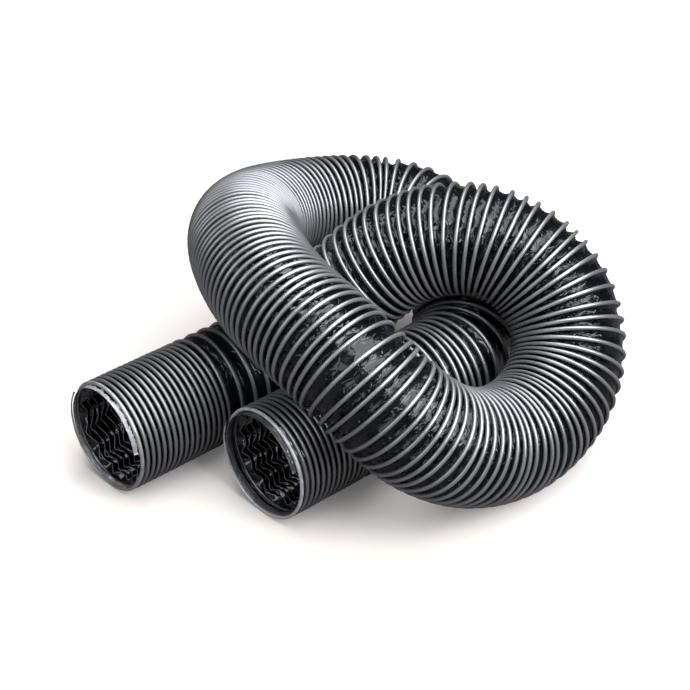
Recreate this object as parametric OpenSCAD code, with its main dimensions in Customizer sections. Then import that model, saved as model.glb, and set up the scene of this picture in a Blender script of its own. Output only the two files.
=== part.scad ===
// Flexible air duct: one length of wire-reinforced hose, laid in a loose knot with both cut ends free.
// A thin film sleeve is folded between the turns of a spring-wire helix that runs under a plastic bead.
// The loop stands up as an arch on the right, crosses over both ends as the limb on the left, turns back
// at the top left, drops behind the arch and comes out under it as the second end.

/* [Hose] */
// Bore of the hose
bore_d = 63.5; // [50:0.5:80]
// Thickness of the film sleeve
film_t = 0.45; // [0.3:0.05:1]
// Diameter of the bead that covers the wire
bead_d = 2.4; // [2:0.1:3.2]
// Diameter of the spring wire inside the bead
wire_d = 1.2; // [0.8:0.1:1.6]
// Depth of the film's fold between two turns
fold_h = 2.2; // [1.2:0.1:2.4]

/* [Turns at the ends] */
// Pitch where the turns are pushed together
tight_pitch = 4.1; // [3.8:0.1:5]
// Pitch of the open turns behind end A
open_pitch_a = 10.2; // [8:0.1:12]
// Pitch of the open turns behind end B
open_pitch_b = 9.4; // [8:0.1:12]
// Turns of bead round the mouth of end A
mouth_turns_a = 4; // [3:1:6]
// Turns of bead round the mouth of end B
mouth_turns_b = 4; // [3:1:6]
// Gathered turns that pull out behind mouth A
gather_turns_a = 10; // [6:1:12]
// Gathered turns that pull out behind mouth B
gather_turns_b = 8; // [5:1:10]
// Turns that stay together between the gathers and the bend of end A
shank_turns_a = 3; // [2:1:4]
// Turns that stay together between the gathers and the bend of end B
shank_turns_b = 2; // [2:1:3]
// Open turns in the bend of end A
neck_turns_a = 3; // [3:1:4]
// Open turns in the bend of end B
neck_turns_b = 2; // [2:1:3]
// Length of bare wire that sticks out of the cut bead
wire_tail = 3; // [1:0.5:5]
// Clock angle of the cut bead round mouth A, from straight down
tip_angle_a = 240; // [0:5:355]
// Clock angle of the cut bead round mouth B, from straight down
tip_angle_b = 250; // [0:5:355]

/* [Pitch of the laid hose] */
// Pitch where the hose lies out of sight on the floor
pitch_floor = 12; // [8:0.1:13]
// Pitch at the foot of the arch
pitch_foot = 5.4; // [5:0.1:9]
// Pitch over the arch
pitch_arch = 6.2; // [5.5:0.1:9]
// Pitch down the right side of the arch
pitch_side = 6.9; // [5.5:0.1:9]
// Pitch round the bottom of the loop
pitch_loop = 6.3; // [5.5:0.1:9]
// Pitch where the limb starts to climb
pitch_climb = 5; // [4.8:0.1:8]
// Pitch round the outer bow of the limb
pitch_bow = 6.6; // [5.5:0.1:9]
// Pitch where the limb crosses over the ends
pitch_limb = 4.7; // [4.5:0.1:8]
// Pitch on the crest of the limb
pitch_crest = 5.4; // [5:0.1:8]
// Pitch round the top left turn
pitch_turn = 4.7; // [4.5:0.1:8]
// Pitch along the back
pitch_back = 6; // [5:0.1:9]
// Pitch of the return to end B
pitch_return = 5; // [4.8:0.1:9]

/* [Clearances] */
// Gap between pieces that move against each other
run_gap = 0.4; // [0.3:0.05:0.8]
// Gap between the film and the bead wound on it
wind_gap = 0.05; // [0.05:0.05:0.5]
// Depth of the flat where the ribs stand on the floor
stand_flat = 0.5; // [0.3:0.1:0.8]

/* [Hidden] */

SIDES = 8;          // sides of a folded ring
COIL_STEPS = 20;    // rings in one turn of the bead at a mouth
CORD_SIDES = 6;     // sides of the bead at a mouth
ROUND = 64;         // facets of a round shown in a preview
STEPS = 8;          // samples between two route points
BORE_STEP = 22;     // greatest distance between two rings of the bore
LAID_OD = 70;       // outside diameter that the route points below are chosen for
SLAB = 400;         // reach of the block that cuts the flats, for that diameter
PAST = 1;           // how far a cut runs past the face it opens

// The bead is wound as a polygon of COIL_STEPS sides whose flats clear the film.
film_od = bore_d + 2 * film_t;
coil_r = (film_od / 2 + wind_gap + bead_d / 2) / cos(180 / COIL_STEPS);
tube_r = coil_r + bead_d / 2;
tube_od = 2 * tube_r;
rib_r = tube_r + stand_flat;
valley_r = rib_r - fold_h;

// A thicker hose bends wider, so the whole lay opens out with the tube.
spread = tube_od / LAID_OD;

// Middle of the lay's outline on the floor, which the origin stands under.
middle = [9, 2];

// Each end runs straight: the place where its bend leaves the laid hose, and the way it points.
root_a = [-62, -8, 0];
root_b = [13, -51, 0];
angle_a = 42;
angle_b = 42;
inward_a = [cos(angle_a), sin(angle_a), 0];
inward_b = [cos(angle_b), sin(angle_b), 0];
lead_a = 40;
lead_b = 60;

// Route of the laid hose from the root of end A to the root of end B, chosen by hand.
// Each height is that of the tube's centreline above where it lies on the floor.
route = [
    root_a,
    root_a + lead_a * inward_a,
    [1, 32, 27],
    [34, 33, 66],
    [79, 27, 82],
    [116, 18, 72],
    [142, 1, 46],
    [144, -27, 13],
    [115, -65, -6],
    [75, -106, 11],
    [38, -125, 46],
    [5, -104, 77],
    [-32, -65, 87],
    [-51, -11, 84],
    [-60, 51, 74],
    [-30, 104, 53],
    [32, 132, 45],
    [82, 103, 37],
    [87, 38, 0],
    [74, 6, 0],
    [63, -5, 0],
    root_b + lead_b * inward_b,
    root_b
];

// Pitch by place, counted in route points.
pitch_by_place = [
    [0, pitch_floor],
    [2, pitch_floor],
    [3, pitch_foot],
    [3.5, pitch_foot],
    [4, pitch_arch],
    [5.5, pitch_arch],
    [6, pitch_side],
    [8, pitch_side],
    [8.5, pitch_loop],
    [9.3, pitch_loop],
    [9.7, pitch_climb],
    [10, pitch_climb],
    [10.4, pitch_bow],
    [11, pitch_bow],
    [11.3, pitch_limb],
    [11.8, pitch_limb],
    [12.3, pitch_crest],
    [12.8, pitch_crest],
    [13.5, pitch_turn],
    [14.2, pitch_turn],
    [15, pitch_back],
    [16, pitch_back],
    [17, pitch_floor],
    [18.8, pitch_floor],
    [19.6, pitch_return],
    [21, pitch_return],
    [22, pitch_floor]
];

// Places, in route points, where one run of hose hands over to the next.
handover = [2.5, 4.6, 6.6, 8.9, 11, 12.8, 14.8, 16.6, 19];

last = len(route) - 1;

function unit(v) = v / norm(v);

// Knots of the smooth curve: the route with one mirrored point past each end.
knots = concat([2 * route[0] - route[1]], route, [2 * route[last] - route[last - 1]]);

function lay(p) = [(p.x - middle.x) * spread, (p.y - middle.y) * spread, p.z * spread + tube_r];

// Point and heading of the uniform cubic B-spline at place u.
function at(u) =
    let (
        i = min(floor(u), last - 1),
        t = u - i,
        p = [for (k = [0:3]) lay(knots[i + k])]
    )
    (pow(1 - t, 3) * p[0]
        + (3 * pow(t, 3) - 6 * pow(t, 2) + 4) * p[1]
        + (-3 * pow(t, 3) + 3 * pow(t, 2) + 3 * t + 1) * p[2]
        + pow(t, 3) * p[3]) / 6;

function heading(u) =
    let (
        i = min(floor(u), last - 1),
        t = u - i,
        p = [for (k = [0:3]) lay(knots[i + k])]
    )
    unit(-pow(1 - t, 2) * p[0]
        + (3 * pow(t, 2) - 4 * t) * p[1]
        + (-3 * pow(t, 2) + 2 * t + 1) * p[2]
        + pow(t, 2) * p[3]);

// Places sampled along the route, the length of each step and the turns counted up to each place.
places = [for (i = [0:last * STEPS]) i / STEPS];
spots = [for (u = places) at(u)];
steps = [for (i = [1:len(spots) - 1]) norm(spots[i] - spots[i - 1])];
step_turns = [for (i = [0:len(steps) - 1])
    steps[i] / lookup((places[i] + places[i + 1]) / 2, pitch_by_place)];
counted = [for (i = 0, c = 0; i < len(places); c = c + (i < len(steps) ? step_turns[i] : 0), i = i + 1) c];
raw_turns = counted[len(counted) - 1];
laid_turns = round(raw_turns);

// The turn count is rounded to a whole number, and every pitch gives way by the same small share.
place_of_turn = [for (i = [0:len(places) - 1]) [counted[i] * laid_turns / raw_turns, places[i]]];
turn_of_place = [for (row = place_of_turn) [row[1], row[0]]];
function place(turn) = lookup(turn, place_of_turn);
function turn_near(u) = round(lookup(u, turn_of_place));

// Distance from the root of end A to each sampled place.
along = [for (i = 0, s = 0; i < len(spots); s = s + (i < len(steps) ? steps[i] : 0), i = i + 1) s];
distance_of_turn = [for (i = [0:len(places) - 1]) [place_of_turn[i][0], along[i]]];
place_of_distance = [for (i = [0:len(places) - 1]) [along[i], places[i]]];

cuts = concat([0], [for (u = handover) turn_near(u)], [laid_turns]);

// One ring of points round centre c, square to heading h, its first point on top.
function ring(c, h, r) =
    let (
        up = unit([0, 0, 1] - h.z * h),
        side = cross(h, up)
    )
    [for (j = [0:SIDES - 1]) c + r * (cos(360 * j / SIDES) * up + sin(360 * j / SIDES) * side)];

// A closed skin through rings of n points, the last ring joined to the first.
module skin(rings, n) {
    count = len(rings);
    polyhedron(
        points = [for (r = rings) each r],
        faces = [for (i = [0:count - 1]) let (a = i * n, b = ((i + 1) % count) * n)
            for (j = [0:n - 1]) let (k = (j + 1) % n)
                each [[a + j, b + j, a + k], [a + k, b + j, b + k]]]
    );
}

// Radius of the folded sleeve at each half turn: a valley at whole turns, a rib between them.
function fold_radius(half) = half % 2 == 0 ? valley_r : rib_r;

// Evenly spaced places, from the last to the first, at which a run's bore has a ring.
function bore_stops(t0, t1) =
    let (
        start = lookup(t0, distance_of_turn),
        run = lookup(t1, distance_of_turn) - start,
        n = ceil(run / BORE_STEP)
    )
    [for (k = [n:-1:0]) lookup(start + run * k / n, place_of_distance)];

// A run of the laid hose between two whole turns. A plain one has the height of its ribs all along.
module laid_run(i, folded = true) {
    t0 = cuts[i];
    t1 = cuts[i + 1];
    outer = [for (half = [2 * t0:folded ? 1 : 2:2 * t1])
        let (u = place(half / 2))
        ring(at(u), heading(u), folded ? fold_radius(half) : rib_r)];
    inner = [for (u = bore_stops(t0, t1)) ring(at(u), heading(u), bore_d / 2)];
    color("dimgray")
        difference() {
            skin(concat(outer, inner), SIDES);
            floor_slab();
        }
}

module floor_slab() {
    reach = SLAB * spread;
    translate([-reach, -reach, -reach])
        cube([2 * reach, 2 * reach, reach]);
}

// Lengths along an end, from its root outwards.
shank_at_a = neck_turns_a * open_pitch_a;
shank_at_b = neck_turns_b * open_pitch_b;
gather_at_a = shank_at_a + shank_turns_a * tight_pitch;
gather_at_b = shank_at_b + shank_turns_b * tight_pitch;
mouth_at_a = gather_at_a + gather_turns_a * tight_pitch;
mouth_at_b = gather_at_b + gather_turns_b * tight_pitch;
mouth_len_a = mouth_turns_a * tight_pitch;
mouth_len_b = mouth_turns_b * tight_pitch;

// A straight folded run on an end, from distance d0 to d1 out from the root.
module end_run(root, inward, d0, d1, turns) {
    foot = lay(root);
    outer = [for (half = [0:2 * turns])
        ring(foot - inward * (d0 + (d1 - d0) * half / (2 * turns)), -inward, fold_radius(half))];
    inner = [for (d = [d1, d0]) ring(foot - inward * d, -inward, bore_d / 2)];
    color("dimgray")
        difference() {
            skin(concat(outer, inner), SIDES);
            floor_slab();
        }
}

// Places a piece that is drawn along +Z from its inner face onto an end, out from the root.
module on_end(root, angle, out) {
    translate(lay(root))
        rotate([0, 90, angle + 180])
            translate([0, 0, out])
                children();
}

// Film sleeve of a mouth: the true round bore, open at both faces.
module film_sleeve(length) {
    difference() {
        cylinder(h = length, d = film_od, $fn = ROUND);
        translate([0, 0, -PAST])
            cylinder(h = length + 2 * PAST, d = bore_d, $fn = ROUND);
    }
}

// Turns that stay together: a revolved sleeve with a rounded rib over each turn of wire.
module shank(turns) {
    length = turns * tight_pitch;
    profile = concat(
        [[bore_d / 2, 0], [tube_r - fold_h, 0]],
        [for (t = [0:turns - 1], q = [0.25, 0.5, 0.75])
            [tube_r - (q == 0.5 ? 0 : bead_d / 4), (t + q) * tight_pitch]],
        [[tube_r - fold_h, length], [bore_d / 2, length]]
    );
    rotate_extrude($fn = ROUND)
        polygon(profile);
}

// The bead over the wire is wound left-handed round each mouth and ends at its clock angle.
bead_base = bead_d / 2 + run_gap;
function bead_rise(turns, length) = (length - 2 * bead_base) / turns;
function bead_lift(rise) = atan(rise / (2 * PI * coil_r));
function bead_point(a, z) = [coil_r * cos(a), coil_r * sin(a), z];
function bead_way(a, lift) = [sin(a) * cos(lift), -cos(a) * cos(lift), sin(lift)];

module bead_helix(turns, length, tip_angle) {
    rise = bead_rise(turns, length);
    lift = bead_lift(rise);
    count = turns * COIL_STEPS;
    rings = [for (i = [0:count])
        let (a = tip_angle + 360 * (turns - i / COIL_STEPS))
        cord_ring(bead_point(a, bead_base + rise * i / COIL_STEPS), bead_way(a, lift), bead_d / 2)];
    capped(rings, CORD_SIDES);
}

// The bare end of the spring wire, straight on from the face of the cut bead.
module wire_tip(turns, length, tip_angle) {
    lift = bead_lift(bead_rise(turns, length));
    translate(bead_point(tip_angle, length - bead_base))
        rotate([0, 0, tip_angle - 90])
            rotate([0, 90 - lift, 0])
                cylinder(h = wire_tail, d = wire_d, $fn = ROUND);
}

function cord_ring(c, h, r) =
    let (
        out = unit([c.x, c.y, 0]),
        side = cross(h, out)
    )
    [for (j = [0:CORD_SIDES - 1])
        c + r * (cos(360 * j / CORD_SIDES) * out + sin(360 * j / CORD_SIDES) * side)];

// A closed cord through rings of n points, with a fan over each end.
module capped(rings, n) {
    count = len(rings);
    first = count * n;
    polyhedron(
        points = concat(
            [for (r = rings) each r],
            [mean_point(rings[0]), mean_point(rings[count - 1])]
        ),
        faces = concat(
            [for (i = [0:count - 2]) let (a = i * n, b = (i + 1) * n)
                for (j = [0:n - 1]) let (k = (j + 1) % n)
                    each [[a + j, b + j, a + k], [a + k, b + j, b + k]]],
            [for (j = [0:n - 1]) [first, j, (j + 1) % n]],
            [for (j = [0:n - 1]) let (a = (count - 1) * n) [first + 1, a + (j + 1) % n, a + j]]
        )
    );
}

function mean_point(points) = [for (p = points) 1 / len(points)] * points;

// Laid hose, from end A to end B.
module hose_rise() laid_run(0);
module hose_arch_up() laid_run(1);
module hose_arch_down() laid_run(2);
module hose_loop() laid_run(3);
module hose_limb_low() laid_run(4);
module hose_limb_high() laid_run(5);
module hose_turn() laid_run(6);
module hose_back() laid_run(7);
module hose_drop() laid_run(8, folded = false);
module hose_return() laid_run(9);

// End A.
module neck_a() end_run(root_a, inward_a, 0, shank_at_a - run_gap, neck_turns_a);
module shank_a() color("dimgray") on_end(root_a, angle_a, shank_at_a) shank(shank_turns_a);
module gather_a() end_run(root_a, inward_a, gather_at_a, mouth_at_a - run_gap, gather_turns_a);
module mouth_film_a() color("black") on_end(root_a, angle_a, mouth_at_a) film_sleeve(mouth_len_a);
module mouth_bead_a()
    color("gray")
        on_end(root_a, angle_a, mouth_at_a)
            bead_helix(mouth_turns_a, mouth_len_a, tip_angle_a);
module wire_tip_a()
    color("silver")
        on_end(root_a, angle_a, mouth_at_a)
            wire_tip(mouth_turns_a, mouth_len_a, tip_angle_a);

// End B.
module neck_b() end_run(root_b, inward_b, 0, shank_at_b - run_gap, neck_turns_b);
module shank_b() color("dimgray") on_end(root_b, angle_b, shank_at_b) shank(shank_turns_b);
module gather_b() end_run(root_b, inward_b, gather_at_b, mouth_at_b - run_gap, gather_turns_b);
module mouth_film_b() color("black") on_end(root_b, angle_b, mouth_at_b) film_sleeve(mouth_len_b);
module mouth_bead_b()
    color("gray")
        on_end(root_b, angle_b, mouth_at_b)
            bead_helix(mouth_turns_b, mouth_len_b, tip_angle_b);
module wire_tip_b()
    color("silver")
        on_end(root_b, angle_b, mouth_at_b)
            wire_tip(mouth_turns_b, mouth_len_b, tip_angle_b);

// Least gap between two passes of the tube, from rib to rib, over points more than two tubes apart.
least_gap = min([for (i = [0:len(spots) - 1], j = [i + 1:1:len(spots) - 1])
    if (along[j] - along[i] > 2 * tube_od) norm(spots[i] - spots[j])]) - 2 * rib_r;
echo(least_gap = least_gap, laid_turns = laid_turns, laid_length = along[len(along) - 1]);
echo(outer_d = tube_od, end_a = mouth_at_a + mouth_len_a, end_b = mouth_at_b + mouth_len_b);

hose_rise();
hose_arch_up();
hose_arch_down();
hose_loop();
hose_limb_low();
hose_limb_high();
hose_turn();
hose_back();
hose_drop();
hose_return();
neck_a();
shank_a();
gather_a();
mouth_film_a();
mouth_bead_a();
wire_tip_a();
neck_b();
shank_b();
gather_b();
mouth_film_b();
mouth_bead_b();
wire_tip_b();
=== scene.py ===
"""Looks of a flexible air duct: a film sleeve folded between the turns of a beaded spring wire.

The hose is one line from mouth A, under and over itself, to mouth B. A bead is wound along it as a
left-handed helix, and the film hangs from turn to turn, slack where the turns are pushed together
and drawn out where they are pulled apart. Lengths are in metres and angles in radians unless a
name says otherwise.
"""

import logging
import math
from dataclasses import dataclass, field, replace
from enum import Enum

import bpy
import numpy as np
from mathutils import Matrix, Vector


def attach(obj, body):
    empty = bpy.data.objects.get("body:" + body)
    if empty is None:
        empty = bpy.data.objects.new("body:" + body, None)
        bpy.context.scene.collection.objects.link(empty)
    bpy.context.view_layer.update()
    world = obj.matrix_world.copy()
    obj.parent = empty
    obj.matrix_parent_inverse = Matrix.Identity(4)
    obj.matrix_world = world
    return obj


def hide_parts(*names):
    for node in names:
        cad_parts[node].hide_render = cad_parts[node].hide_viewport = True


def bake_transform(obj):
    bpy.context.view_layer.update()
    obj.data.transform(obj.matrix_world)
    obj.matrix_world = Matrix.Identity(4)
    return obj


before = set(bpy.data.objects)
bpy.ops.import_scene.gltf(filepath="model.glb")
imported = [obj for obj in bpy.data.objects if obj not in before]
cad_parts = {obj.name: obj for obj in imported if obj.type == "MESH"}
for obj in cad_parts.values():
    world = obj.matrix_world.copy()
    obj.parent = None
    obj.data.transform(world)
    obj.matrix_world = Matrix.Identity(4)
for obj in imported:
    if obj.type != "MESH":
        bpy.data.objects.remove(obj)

LOG = logging.getLogger("air_duct")
MM = 0.001
TAU = 2.0 * math.pi
UP = np.array([0.0, 0.0, 1.0])
TIGHT_MM = 4.1
TINY = 1e-9

Color = tuple[float, float, float]
Socket = bpy.types.NodeSocket
Fed = Socket | float | tuple[float, ...]


class Slot(Enum):
    """Material slots of the record."""

    BEAD = "bead"
    FILM = "film"
    WIRE = "wire"


# ---- The hose's line ----


def unit(v: np.ndarray) -> np.ndarray:
    """Rows of v, each divided by its length."""
    return v / np.maximum(np.linalg.norm(v, axis=-1, keepdims=True), TINY)


@dataclass(frozen=True)
class HoseSizes:
    """Sizes of the hose's own section.

    The outer radius is that of the solids. The bead is a little thicker than theirs, and the film
    thinner.
    """

    bead_d: float = 2.5 * MM
    coil_r: float = 33.82 * MM
    film_r: float = 33.6 * MM
    cuff_r: float = 32.3 * MM
    film_t: float = 0.3 * MM
    film_width: float = 11.2 * MM
    tube_r: float = 35.067 * MM


@dataclass(frozen=True)
class EndTurns:
    """Turns of one free end from its mouth to its root, and the pitch that they have."""

    mouth: int
    gather: int
    shank: int
    neck: int
    open_pitch: float
    tight_pitch: float = TIGHT_MM * MM

    @property
    def turns(self) -> int:
        """All the turns of the end."""
        return self.mouth + self.gather + self.shank + self.neck

    @property
    def length(self) -> float:
        """Length from the mouth's face to the root."""
        return self.distance_of(self.turns)

    def distance_of(self, turns: float) -> float:
        """Distance from the mouth's face at which that many turns have passed.

        Args:
            turns: turns counted from the mouth's face.

        Returns:
            The distance in metres.
        """
        tight = self.mouth + self.gather + self.shank
        return min(turns, tight) * self.tight_pitch + max(turns - tight, 0) * self.open_pitch


@dataclass(frozen=True)
class Lay:
    """The route of the hose, whose points are those that the solids follow, in millimetres.

    Heights are those of the centreline above where the hose lies on the floor. The points are the
    control points of a uniform cubic B-spline that is mirrored past its first and last point.
    """

    middle: tuple[float, float] = (9.0, 2.0)
    laid_od: float = 70.0
    inward_deg: float = 42.0
    lead_a: float = 40.0
    lead_b: float = 60.0
    root_a: tuple[float, float, float] = (-62.0, -8.0, 0.0)
    root_b: tuple[float, float, float] = (13.0, -51.0, 0.0)
    between: tuple[tuple[float, float, float], ...] = (
        (1, 32, 27), (34, 33, 66), (79, 27, 82), (116, 18, 72), (142, 1, 46), (144, -27, 13),
        (115, -65, -6), (75, -106, 11), (38, -125, 46), (5, -104, 77), (-32, -65, 87),
        (-51, -11, 84), (-60, 51, 74), (-30, 104, 53), (32, 132, 45), (82, 103, 37), (87, 38, 0),
        (74, 6, 0), (63, -5, 0),
    )

    def inward(self) -> np.ndarray:
        """The way both ends point from their mouths towards their roots."""
        a = math.radians(self.inward_deg)
        return np.array([math.cos(a), math.sin(a), 0.0])

    def control_points(self, tube_r: float) -> np.ndarray:
        """The route's control points in metres.

        Args:
            tube_r: the hose's outer radius, which lifts the line off the floor.

        Returns:
            An array of points, one a row.
        """
        inward = self.inward()
        a, b = np.array(self.root_a), np.array(self.root_b)
        leads = a + self.lead_a * inward, b + self.lead_b * inward
        points = np.array([a, leads[0], *self.between, leads[1], b], float)
        points[:, :2] -= self.middle
        spread = 2 * tube_r / (self.laid_od * MM)
        return points * spread * MM + tube_r * UP


@dataclass(frozen=True)
class Pitches:
    """Pitch of the laid hose in millimetres, even along each stretch and blended between them.

    A stretch goes from one place to another, counted in control points of the route.
    """

    stretches: tuple[tuple[str, float, float, float], ...] = (
        ("root of end A", 0, 2, 12.0),
        ("foot of the arch", 3, 3.5, 5.4),
        ("arch", 4, 5.5, 6.2),
        ("its far side", 6, 8, 6.9),
        ("loop", 8.5, 9.3, 6.3),
        ("climb", 9.7, 10, 5.0),
        ("bow", 10.4, 11, 6.6),
        ("limb", 11.3, 11.8, 4.7),
        ("its crest", 12.3, 12.8, 5.4),
        ("turn", 13.5, 14.2, 4.7),
        ("back", 15, 16, 6.0),
        ("drop", 17, 18.8, 12.0),
        ("way out", 19.6, 21, 5.0),
        ("root of end B", 22, 23, 12.0),
    )

    def at(self, place: np.ndarray) -> np.ndarray:
        """Pitch in metres at each place."""
        marks = [mark for _, start, end, _ in self.stretches for mark in (start, end)]
        values = [pitch for *_, pitch in self.stretches for _ in range(2)]
        return np.interp(place, marks, values) * MM


class Centreline:
    """The line down the middle of the hose, and how many turns are wound along it.

    Everything is looked up by turn, counted from the face of mouth A.
    """

    STEPS = 24
    END_STEPS = 4
    LAID_TURNS = 155
    TIP_TO_TIP = 0.639
    HEADING_REACH = 2.5 * MM

    def __init__(
        self, sizes: HoseSizes, lay: Lay, pitches: Pitches, end_a: EndTurns, end_b: EndTurns
    ) -> None:
        """Samples the line: end A, the laid hose and end B.

        Args:
            sizes: the hose's section.
            lay: its route.
            pitches: pitch by place on the laid hose.
            end_a: turns of end A.
            end_b: turns of end B.
        """
        self.end_a, self.end_b = end_a, end_b
        self.inward = lay.inward()
        points = lay.control_points(sizes.tube_r)
        self.root_a, self.root_b = points[0], points[-1]
        laid, turns = self._laid(points, pitches)
        line_a, rows_a = self._end(end_a, self.root_a)
        line_b, rows_b = self._end(end_b, self.root_b)
        self.points = np.vstack([line_a[:-1], laid, line_b[-2::-1]])
        past_b = end_a.turns + turns[-1] + end_b.turns - rows_b[-2::-1]
        count = np.concatenate([rows_a[:-1], end_a.turns + turns, past_b])
        self.total = float(count[-1]) + self._phase_gap(float(count[-1]))
        self.stretch = self.total / count[-1]
        self.turn = count * self.stretch
        steps = np.linalg.norm(np.diff(self.points, axis=0), axis=1)
        self.along = np.concatenate([[0.0], np.cumsum(steps)])

    def _end(self, end: EndTurns, root: np.ndarray) -> tuple[np.ndarray, np.ndarray]:
        """Points and turn counts along a free end, from its face to its root."""
        rows = np.linspace(0, end.turns, self.END_STEPS * end.turns + 1)
        far = np.array([end.distance_of(n) for n in rows])
        return root - self.inward * (end.length - far)[:, None], rows

    def _laid(self, points: np.ndarray, pitches: Pitches) -> tuple[np.ndarray, np.ndarray]:
        """Points and turn counts along the laid hose.

        The curve is the uniform cubic B-spline of the control points, and the turns are the
        integral of one over the pitch, scaled to a whole number.
        """
        knots = np.vstack([2 * points[0] - points[1], points, 2 * points[-1] - points[-2]])
        place = np.linspace(0, len(points) - 1, (len(points) - 1) * self.STEPS + 1)
        i = np.minimum(place.astype(int), len(points) - 2)
        t = (place - i)[:, None]
        spline = (
            (1 - t) ** 3 * knots[i]
            + (3 * t**3 - 6 * t**2 + 4) * knots[i + 1]
            + (-3 * t**3 + 3 * t**2 + 3 * t + 1) * knots[i + 2]
            + t**3 * knots[i + 3]
        )
        laid = spline / 6
        step = np.linalg.norm(np.diff(laid, axis=0), axis=1)
        raw = np.concatenate([[0.0], np.cumsum(step / pitches.at((place[1:] + place[:-1]) / 2))])
        return laid, raw * self.LAID_TURNS / raw[-1]

    def _phase_gap(self, turns: float) -> float:
        """The part of a turn that brings the cut bead of mouth B round to its clock angle."""
        tips = turns - 2 * MouthPlan.TIP_TURN
        return (self.TIP_TO_TIP - tips) % 1.0

    def distance(self, turn: np.ndarray) -> np.ndarray:
        """Distance along the line at each turn."""
        return np.interp(turn, self.turn, self.along)

    def laid_turns(self) -> tuple[float, float]:
        """The turns at the roots of end A and end B, between which the hose is laid."""
        return self.end_a.turns * self.stretch, self.total - self.end_b.turns * self.stretch

    def _point(self, far: np.ndarray) -> np.ndarray:
        """Points of the line at each distance, held at its two ends past them."""
        return np.stack([np.interp(far, self.along, self.points[:, k]) for k in range(3)], axis=-1)

    def frame_at(self, turn: np.ndarray, shift: np.ndarray) -> tuple[np.ndarray, ...]:
        """Centre, heading and the two directions across the hose at each turn.

        Args:
            turn: turns counted from the face of mouth A.
            shift: how far along the hose each place is moved, in metres.

        Returns:
            Centre, heading, the direction nearest straight up and the one to its side.
        """
        far = self.distance(turn) + shift
        past = np.maximum(far - self.along[-1], 0) + np.maximum(-far, 0)
        centre = self._point(far) - past[..., None] * self.inward
        reach = self.HEADING_REACH
        heading = unit(self._point(far + reach) - self._point(far - reach))
        across = unit(UP - heading[..., 2:] * heading)
        return centre, heading, across, np.cross(heading, across)


class MouthPlan:
    """Where the cut bead of each mouth starts: how far in from the face, and at which angle."""

    LEAD_IN_MM = 1.6
    TIP_TURN = LEAD_IN_MM / TIGHT_MM
    TIP_ANGLE_A = math.radians(-60.0)


@dataclass
class Winding:
    """The spring's turns, where each stands once laying has pushed it a little out of place."""

    line: Centreline
    seed: int = 4
    waves: int = 7
    push: float = 0.6 * MM
    lean: float = 0.6 * MM
    calm: float = 6.0
    tables: tuple[np.ndarray, ...] = field(init=False)

    PUSH_RATES = (0.04, 0.31)
    LEAN_RATES = (0.03, 0.22)
    SQUARE_TURNS = 14
    LEAST_EASE = 0.12

    def __post_init__(self) -> None:
        """Draws the slow waves that push and lean the turns."""
        r = np.random.default_rng(self.seed)
        self.tables = (
            r.uniform(*self.PUSH_RATES, self.waves),
            r.uniform(0, TAU, self.waves),
            r.uniform(*self.LEAN_RATES, self.waves),
            r.uniform(0, TAU, self.waves),
            r.uniform(0, TAU, self.waves),
        )

    def angle(self, turn: np.ndarray) -> np.ndarray:
        """Angle round the hose, left-handed, from straight up."""
        return MouthPlan.TIP_ANGLE_A - TAU * (turn - MouthPlan.TIP_TURN)

    def shift(self, turn: np.ndarray) -> np.ndarray:
        """How far each place on the spring is pushed along the hose.

        The push is a sum of slow sines of the turn count, and the lean a sum of sines that also
        go once round the hose. Both fade to a little near the mouths, where the turns stand
        almost square.
        """
        rates, phases, lean_rates, lean_phases, ways = self.tables
        t = np.asarray(turn)[..., None]
        push = np.sin(TAU * rates * t + phases).mean(-1)
        lean = np.sin(TAU * lean_rates * t + lean_phases) * np.cos(self.angle(t) - ways)
        lean = lean.mean(-1)
        near_end = np.minimum(turn, self.line.total - turn)
        ease = np.clip((near_end - self.SQUARE_TURNS) / self.calm, self.LEAST_EASE, 1.0)
        return ease * (self.push * push + self.lean * lean) * math.sqrt(self.waves)

    def frame(self, turn: np.ndarray) -> tuple[np.ndarray, np.ndarray, np.ndarray]:
        """Centre of the hose, its heading and the outward direction at each place on the spring."""
        centre, heading, across, side = self.line.frame_at(turn, self.shift(turn))
        a = self.angle(turn)[..., None]
        return centre, heading, np.cos(a) * across + np.sin(a) * side


# ---- Meshes ----


def mesh_object(
    name: str, points: np.ndarray, quads: np.ndarray, uv: np.ndarray | None = None
) -> bpy.types.Object:
    """A smooth mesh object at the origin.

    Args:
        name: the piece's name.
        points: its points, one a row.
        quads: its faces, four point indexes a row, outwards; a triangle repeats its last index.
        uv: a texture coordinate for each corner of each face, or None.

    Returns:
        The object, linked into the scene.
    """
    flat = quads.reshape(-1, 4)
    three = flat[:, 2] == flat[:, 3]
    sizes = np.where(three, 3, 4)
    keep = np.ones(flat.shape, bool)
    keep[three, 3] = False
    corners = flat[keep]
    mesh = bpy.data.meshes.new(name)
    mesh.vertices.add(len(points))
    mesh.vertices.foreach_set("co", points.astype(np.float32).ravel())
    mesh.loops.add(len(corners))
    mesh.loops.foreach_set("vertex_index", corners.astype(np.int32))
    mesh.polygons.add(len(flat))
    starts = np.concatenate([[0], np.cumsum(sizes)[:-1]])
    mesh.polygons.foreach_set("loop_start", starts.astype(np.int32))
    mesh.polygons.foreach_set("use_smooth", np.ones(len(flat), bool))
    if uv is not None:
        layer = mesh.uv_layers.new(name="UVMap")
        layer.data.foreach_set("uv", uv.reshape(-1, 4, 2)[keep].astype(np.float32).ravel())
    mesh.update(calc_edges=True)
    mesh.validate()
    piece = bpy.data.objects.new(name, mesh)
    bpy.context.scene.collection.objects.link(piece)
    return piece


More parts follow.
